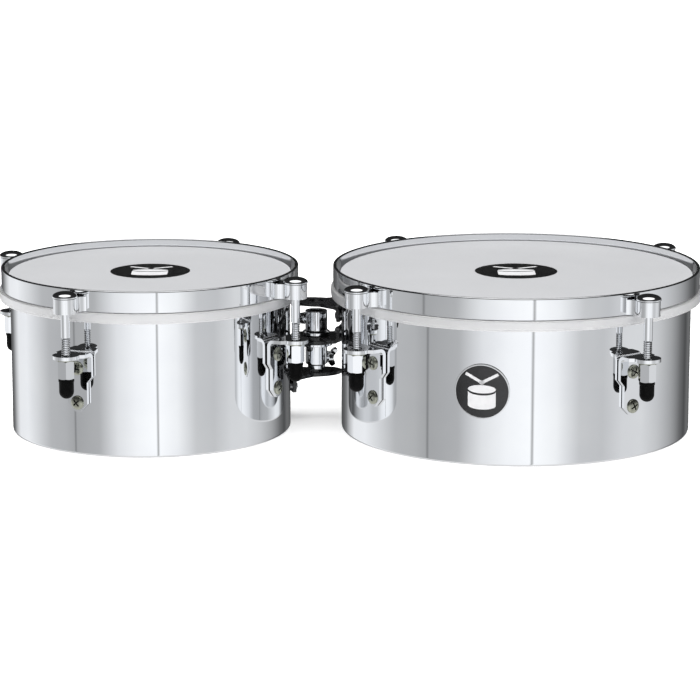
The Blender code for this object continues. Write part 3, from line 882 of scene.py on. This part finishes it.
def side_angles():
    """The lower half of a circle, from left to right."""
    return [math.pi + math.pi * step / 24 for step in range(25)]


def disc_rings(radius, bottom, top):
    """A thin disc in rings, so that it can be wrapped round a shell."""
    shares = (0.0, 0.15, 0.3, 0.45, 0.6, 0.75, 0.9, 1.0)
    profile = [(radius * share, top) for share in shares]
    profile += [(radius * share, bottom) for share in reversed(shares)]
    return turned(profile, DISC_SEGMENTS)


def add_head_print(drum, frame_at, materials):
    body = f"{drum}_drum"
    radius = PRINT_RADII[drum]
    film_top = SHELL_HEIGHT + GAP + FILM
    disc = finish_mesh(disc_rings(radius, film_top + 0.01, film_top + 0.04), "print_ground")
    add_piece(f"{drum}.print_ground", disc, materials["ink_and_recess_shade"], body, at=frame_at)
    sign = finish_mesh(joined(*sign_parts(radius / 20.0, film_top + 0.045, film_top + 0.06)), "print_sign")
    add_piece(f"{drum}.print_sign", sign, materials["pale_ink"], body, at=frame_at)


def add_badge(frame_at, materials):
    radius = SHELL_RADII["large"]
    at = frame_at @ placed(z=BADGE_HEIGHT, degrees=BADGE_DEGREES)
    face = GAP + BADGE_THICKNESS - 0.35
    ground = wrapped(disc_rings(BADGE_RADIUS - 0.8, GAP, face), radius)
    add_piece("badge.ground", finish_mesh(ground, "badge_ground"), materials["enamel"], "large_drum",
              ["badge"], at)
    ring_inner = BADGE_RADIUS - BADGE_RING_WIDTH
    ring_top = GAP + BADGE_THICKNESS
    ring_profile = rounded([
        (ring_inner, GAP, 0.0),
        (BADGE_RADIUS, GAP, 0.1),
        (BADGE_RADIUS, ring_top, 0.3),
        (ring_inner, ring_top, 0.3),
    ])
    ring = wrapped(turned(ring_profile, DISC_SEGMENTS), radius)
    add_piece("badge.ring", finish_mesh(ring, "badge_ring"), materials["satin_chrome"], "large_drum",
              at=at)
    sign = wrapped(joined(*sign_parts(1.08, face - 0.05, face + 0.2)), radius)
    add_piece("badge.sign", finish_mesh(sign, "badge_sign"), materials["pale_ink"], "large_drum",
              at=at)


def lug_meshes(materials):
    screw_seat = SHEET + GAP + WALL + 0.15
    # The screw's cross recess is lined with the near-black ink, as painted shade.
    bracket_screw = screw_mesh(SCREW_HEAD, SCREW_HEAD_HEIGHT, SCREW_SHANK, screw_seat + 7.2, "bracket_screw",
                               materials["nickel"], materials["ink_and_recess_shade"])
    return {
        "bracket": bracket_mesh(),
        "rod": rod_mesh(),
        "nut": finish_mesh(hex_nut(NUT_ACROSS_FLATS, ROD_HOLE, NUT_BOTTOM, NUT_TOP), "tension_nut"),
        "washer": finish_mesh(washer(WASHER_RADIUS, ROD_HOLE, WASHER_BOTTOM, WASHER_HEIGHT), "washer"),
        "cap": cap_mesh(),
        "screw": bracket_screw,
        "inner_nut": inner_nut_mesh(BRACKET_NUT_ACROSS_FLATS, SCREW_SHANK, screw_seat),
    }


def add_lug(drum, number, at, meshes, materials):
    body = f"{drum}_drum"
    hoop = f"{drum}_hoop"
    nut = f"{drum}_nut_{number}"
    chrome = materials["chrome"]
    add_piece(f"{drum}.lug_bracket_{number}", meshes["bracket"], chrome, body,
              [f"{drum}_lug_bracket_{number}"], at, bevel=0.45)
    add_piece(f"{drum}.tension_rod_{number}", meshes["rod"], chrome, hoop,
              [f"{drum}_tension_rod_{number}"], at)
    add_piece(f"{drum}.tension_nut_{number}", meshes["nut"], chrome, nut,
              [f"{drum}_tension_nut_{number}"], at)
    add_piece(f"{drum}.rubber_cap_{number}", meshes["cap"], materials["rubber"], nut,
              [f"{drum}_rubber_cap_{number}"], at)
    add_piece(f"{drum}.washer_{number}", meshes["washer"], materials["nickel"], body, at=at)
    for which, level in enumerate(SCREW_LEVELS):
        twist = Matrix.Rotation(math.radians(SCREW_TWIST_DEGREES * (2 * number + which)), 4, "Z")
        turn = Matrix.Rotation(math.radians(90.0), 4, "Y") @ twist
        screw_at = at @ placed(x=-LUG_OUT + GAP + SHEET, z=level) @ turn
        end = ("lower", "upper")[which]
        add_piece(f"{drum}.bracket_screw_{number}_{end}", meshes["screw"], materials["nickel"], body,
                  at=screw_at)
        add_piece(f"{drum}.bracket_nut_{number}_{end}", meshes["inner_nut"], materials["zinc"], body,
                  at=screw_at)


def add_drum(drum, meshes, materials):
    body = f"{drum}_drum"
    hoop = f"{drum}_hoop"
    radius = SHELL_RADII[drum]
    at = placed(x=CENTRES[drum])
    add_piece(f"{drum}.shell", shell_mesh(radius), materials["chrome"], body, [f"{drum}_shell"], at)
    add_piece(f"{drum}.head", film_mesh(radius), materials["film"], body,
              [f"{drum}_head_film"], at)
    add_piece(f"{drum}.flesh_hoop", flesh_hoop_mesh(radius), materials["aluminium"], hoop,
              [f"{drum}_flesh_hoop"], at)
    add_piece(f"{drum}.counterhoop", counterhoop_mesh(radius, FIRST_LUG_DEGREES[drum]), materials["chrome"],
              hoop, [f"{drum}_counterhoop"], at, bevel=0.6)
    add_head_print(drum, at, materials)
    for number in range(LUGS):
        degrees = FIRST_LUG_DEGREES[drum] + 360.0 * number / LUGS
        lug_at = at @ placed(degrees=degrees) @ placed(x=radius + LUG_OUT)
        add_lug(drum, number + 1, lug_at, meshes, materials)


def bearing(drum):
    """The direction from the stand rod's axis to a drum's axis in degrees, and the distance."""
    across = CENTRES[drum] - AXIS_X
    return math.degrees(math.atan2(-AXIS_Y, across)), math.hypot(AXIS_Y, across)


def add_plate(name, materials):
    drum = name.split("_")[0]
    body = f"{drum}_drum"
    flange_up = name in FLANGES_UP
    towards, distance = bearing(drum)
    reach = distance - SHELL_RADII[drum]
    at = placed(AXIS_X, AXIS_Y, PLATE_LEVELS[name], towards)
    at_pivot = name in ("small_upper_plate", "large_lower_plate")
    hole = PIVOT_HOLE if at_pivot else STAND_ROD_HOLE
    drill = turned([(0.0, -PLATE), (hole, -PLATE), (hole, 2 * PLATE), (0.0, 2 * PLATE)])
    mesh = finish_mesh(plate_mesh(reach, flange_up), "mount_plate", [drill])
    add_piece(f"mount.{name}", mesh, materials["black_paint"], body, [name], at, bevel=0.5)
    bolt_z = PLATE - FLANGE + BOLT_HEAD_RADIUS + BOLT_EDGE
    if flange_up:
        bolt_z = PLATE - bolt_z
    seat = PLATE + 2 * GAP
    # The bolt's cross recess is lined with the near-black ink, as painted shade.
    bolt = screw_mesh(BOLT_HEAD_RADIUS, BOLT_HEAD, BOLT_RADIUS, seat + WALL + 5.0, "plate_bolt",
                      materials["zinc"], materials["ink_and_recess_shade"])
    nut = inner_nut_mesh(BOLT_NUT_ACROSS_FLATS, BOLT_RADIUS, seat + WALL + 0.5)
    for side, y in (("front", -BOLT_SPREAD), ("rear", BOLT_SPREAD)):
        place = placed(x=reach - seat, y=y, z=bolt_z)
        bolt_at = at @ place @ Matrix.Rotation(math.radians(-90.0), 4, "Y")
        add_piece(f"mount.{name}_{side}_bolt", bolt, materials["zinc"], body,
                  [f"{name}_{side}_bolt"], bolt_at)
        add_piece(f"mount.{name}_{side}_nut", nut, materials["zinc"], body, at=bolt_at)


def add_collar(name, mesh, drum, materials):
    """A collar on the stand rod's axis, and its wing screw, which points away from its own drum."""
    towards, _ = bearing(drum)
    at = placed(AXIS_X, AXIS_Y, degrees=towards + 180.0)
    add_piece(f"mount.{name}", mesh, materials["chrome"], f"{drum}_drum", [name], at)
    level = placed(z=WING_SCREW_LEVELS[drum])
    turn = Matrix.Rotation(math.radians(WING_TURNS[drum]), 4, "X")
    add_piece(f"mount.{drum}_wing_screw", wing_screw_mesh(), materials["chrome"], f"{drum}_screw",
              [f"{drum}_wing_screw"], at @ level @ turn, bevel=0.7)


# --- Studio -------------------------------------------------------------------------------------


# How bright the tent's low wall is, by the direction's angle from the camera's side towards +X.
# These levels aren't a design: a script read the shells' brightness in the reference photograph,
# 14 of the stops are those readings, and the rest were set or changed by hand. This file should hold
# nothing from the photograph, so the report lists the table as an open fault.
# The two narrow dark dips are seams in the tent.
TENT = (
    (-180.0, 0.06), (-170.0, 0.08), (-160.0, 0.10), (-152.0, 0.20), (-136.0, 0.80), (-120.0, 0.84),
    (-104.0, 0.66), (-88.0, 0.46), (-72.0, 0.43), (-62.2, 0.37), (-62.0, 0.22), (-61.8, 0.22),
    (-61.6, 0.37), (-40.0, 0.43), (-24.0, 0.75), (-8.0, 0.90), (8.2, 0.96), (8.4, 0.36),
    (8.7, 0.36), (8.9, 0.96), (24.0, 0.86), (40.0, 0.56), (56.0, 0.53), (72.0, 0.65), (88.0, 0.66),
    (104.0, 0.54), (120.0, 0.36), (136.0, 0.14), (146.0, 0.07), (154.5, 0.14), (168.0, 0.10), (180.0, 0.06),
)
TENT_GAIN = 1.12
# Above the wall the studio is dark, apart from a faint glow on the camera's side and a lamp overhead.
STUDIO = (
    (-180.0, 0.02), (-150.0, 0.02), (-30.0, 0.04), (0.0, 0.10),
    (30.0, 0.04), (150.0, 0.02), (180.0, 0.02),
)
# Each blend by the sine of the height: wall to studio, studio to lamp, and underneath to wall.
WALL_TOP = (0.0, 0.06)
LAMP_EDGE = (0.84, 0.89)
FLOOR_EDGE = (-0.70, -0.45)
OVERHEAD = 1.4
UNDERNEATH = 0.8
BACKDROP = 1.0
CAMERA_PLACE = (0.0029, -2.180, 0.521)
CAMERA_PITCH = 77.957
CAMERA_LENS = 156.8
FLOOR_GLOW = 0.45
FLOOR_HALF = 30.0
SUN_STRENGTH = 4.0
SUN_SPREAD_DEGREES = 70.0
SUN_TILT_DEGREES = 8.0


def link_math(tree, operation, first, second):
    node = tree.nodes.new("ShaderNodeMath")
    node.operation = operation
    for socket, value in zip(node.inputs, (first, second)):
        if isinstance(value, (int, float)):
            socket.default_value = value
        else:
            tree.links.new(value, socket)
    return node.outputs["Value"]


def ring_of_light(tree, turn, stops):
    """Brightness by direction round the object. A stop is (degrees, brightness)."""
    ramp = tree.nodes.new("ShaderNodeValToRGB")
    elements = ramp.color_ramp.elements
    while len(elements) < len(stops):
        elements.new(0.5)
    for element, (degrees, level) in zip(elements, stops):
        element.position = (degrees + 180.0) / 360.0
        element.color = (level * 0.985, level, level * 1.02, 1.0)
    tree.links.new(turn, ramp.inputs["Fac"])
    return ramp.outputs["Color"]


def grey(level):
    return (level, level, level, 1.0)


def blend_by_height(tree, height, edges, below, above):
    """Passes from one colour to another as the height goes from the first edge to the second."""
    rise = tree.nodes.new("ShaderNodeMapRange")
    rise.interpolation_type = "SMOOTHSTEP"
    rise.inputs["From Min"].default_value = edges[0]
    rise.inputs["From Max"].default_value = edges[1]
    tree.links.new(height, rise.inputs["Value"])
    mix = tree.nodes.new("ShaderNodeMix")
    mix.data_type = "RGBA"
    tree.links.new(rise.outputs["Result"], mix.inputs["Factor"])
    for socket, colour in ((mix.inputs["A"], below), (mix.inputs["B"], above)):
        if isinstance(colour, tuple):
            socket.default_value = colour
        else:
            tree.links.new(colour, socket)
    return mix.outputs["Result"]


def make_tent():
    """The world: a lit ring low round the object, a darker studio above it and a lamp overhead.

    The camera itself sees a plain white backdrop instead.
    """
    world = bpy.data.worlds.new("studio_tent")
    bpy.context.scene.world = world
    world.use_nodes = True
    tree = world.node_tree
    coordinates = tree.nodes.new("ShaderNodeTexCoord")
    split = tree.nodes.new("ShaderNodeSeparateXYZ")
    tree.links.new(coordinates.outputs["Generated"], split.inputs["Vector"])
    behind = link_math(tree, "MULTIPLY", split.outputs["Y"], -1.0)
    turn = link_math(tree, "ARCTAN2", split.outputs["X"], behind)
    share = link_math(tree, "ADD", link_math(tree, "DIVIDE", turn, 2 * math.pi), 0.5)
    wall = ring_of_light(tree, share, [(degrees, level * TENT_GAIN) for degrees, level in TENT])
    studio = ring_of_light(tree, share, STUDIO)
    height = split.outputs["Z"]
    low = blend_by_height(tree, height, FLOOR_EDGE, grey(UNDERNEATH), wall)
    middle = blend_by_height(tree, height, WALL_TOP, low, studio)
    whole = blend_by_height(tree, height, LAMP_EDGE, middle, grey(OVERHEAD))
    rays = tree.nodes.new("ShaderNodeLightPath")
    shown = tree.nodes.new("ShaderNodeMix")
    shown.data_type = "RGBA"
    shown.inputs["B"].default_value = grey(BACKDROP)
    tree.links.new(rays.outputs["Is Camera Ray"], shown.inputs["Factor"])
    tree.links.new(whole, shown.inputs["A"])
    tree.links.new(shown.outputs["Result"], tree.nodes["Background"].inputs["Color"])


def show_from_above(tree, shader):
    """Leaves a face clear when it is seen from behind, so that views from below show the object."""
    side = tree.nodes.new("ShaderNodeNewGeometry")
    clear = tree.nodes.new("ShaderNodeBsdfTransparent")
    mix = tree.nodes.new("ShaderNodeMixShader")
    tree.links.new(side.outputs["Backfacing"], mix.inputs["Fac"])
    tree.links.new(shader.outputs["BSDF"], mix.inputs[1])
    tree.links.new(clear.outputs["BSDF"], mix.inputs[2])
    tree.links.new(mix.outputs["Shader"], tree.nodes["Material Output"].inputs["Surface"])


def add_floor():
    bm = bmesh.new()
    bmesh.ops.create_grid(bm, x_segments=1, y_segments=1, size=FLOOR_HALF)
    mesh = bpy.data.meshes.new("floor")
    bm.to_mesh(mesh)
    bm.free()
    floor = bpy.data.objects.new("floor", mesh)
    bpy.context.scene.collection.objects.link(floor)
    paper = bpy.data.materials.new("paper")
    paper.use_nodes = True
    shader = paper.node_tree.nodes["Principled BSDF"]
    shader.inputs["Base Color"].default_value = (0.92, 0.92, 0.92, 1.0)
    shader.inputs["Roughness"].default_value = 1.0
    shader.inputs["Emission Color"].default_value = (1.0, 1.0, 1.0, 1.0)
    shader.inputs["Emission Strength"].default_value = FLOOR_GLOW
    show_from_above(paper.node_tree, shader)
    shader.inputs["Specular IOR Level"].default_value = 0.0
    mesh.materials.append(paper)
    floor.visible_glossy = False


def add_sun():
    light = bpy.data.lights.new("overhead", "SUN")
    light.energy = SUN_STRENGTH
    light.angle = math.radians(SUN_SPREAD_DEGREES)
    sun = bpy.data.objects.new("overhead", light)
    sun.rotation_euler = (math.radians(SUN_TILT_DEGREES), 0.0, 0.0)
    sun.visible_glossy = False
    bpy.context.scene.collection.objects.link(sun)


def add_camera():
    data = bpy.data.cameras.new("camera")
    data.lens = CAMERA_LENS
    data.clip_start = 0.01
    camera = bpy.data.objects.new("camera", data)
    camera.location = CAMERA_PLACE
    camera.rotation_euler = (math.radians(CAMERA_PITCH), 0.0, 0.0)
    bpy.context.scene.collection.objects.link(camera)
    bpy.context.scene.camera = camera


# --- Build --------------------------------------------------------------------------------------


# The shells' places and radii in millimetres, from the frame.
SHELL_BOXES = {drum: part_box(f"{drum}_shell") for drum in DRUMS}
CENTRES = {drum: (low[0] + high[0]) / 2 / MM for drum, (low, high) in SHELL_BOXES.items()}
SHELL_RADII = {drum: (high[0] - low[0]) / 2 / MM for drum, (low, high) in SHELL_BOXES.items()}
AXIS_X = CENTRES["small"] + SHELL_RADII["small"] + SHELL_GAP / 2


def main():
    materials = make_materials()
    meshes = lug_meshes(materials)
    for drum in DRUMS:
        add_drum(drum, meshes, materials)
    add_badge(placed(x=CENTRES["large"]), materials)
    for name in PLATE_LEVELS:
        add_plate(name, materials)
    add_collar("upper_rod_collar", upper_collar_mesh(), "large", materials)
    add_collar("lower_rod_collar", lower_collar_mesh(), "small", materials)
    make_tent()
    add_floor()
    add_sun()
    add_camera()
    bpy.context.scene.view_settings.view_transform = "Standard"


main()
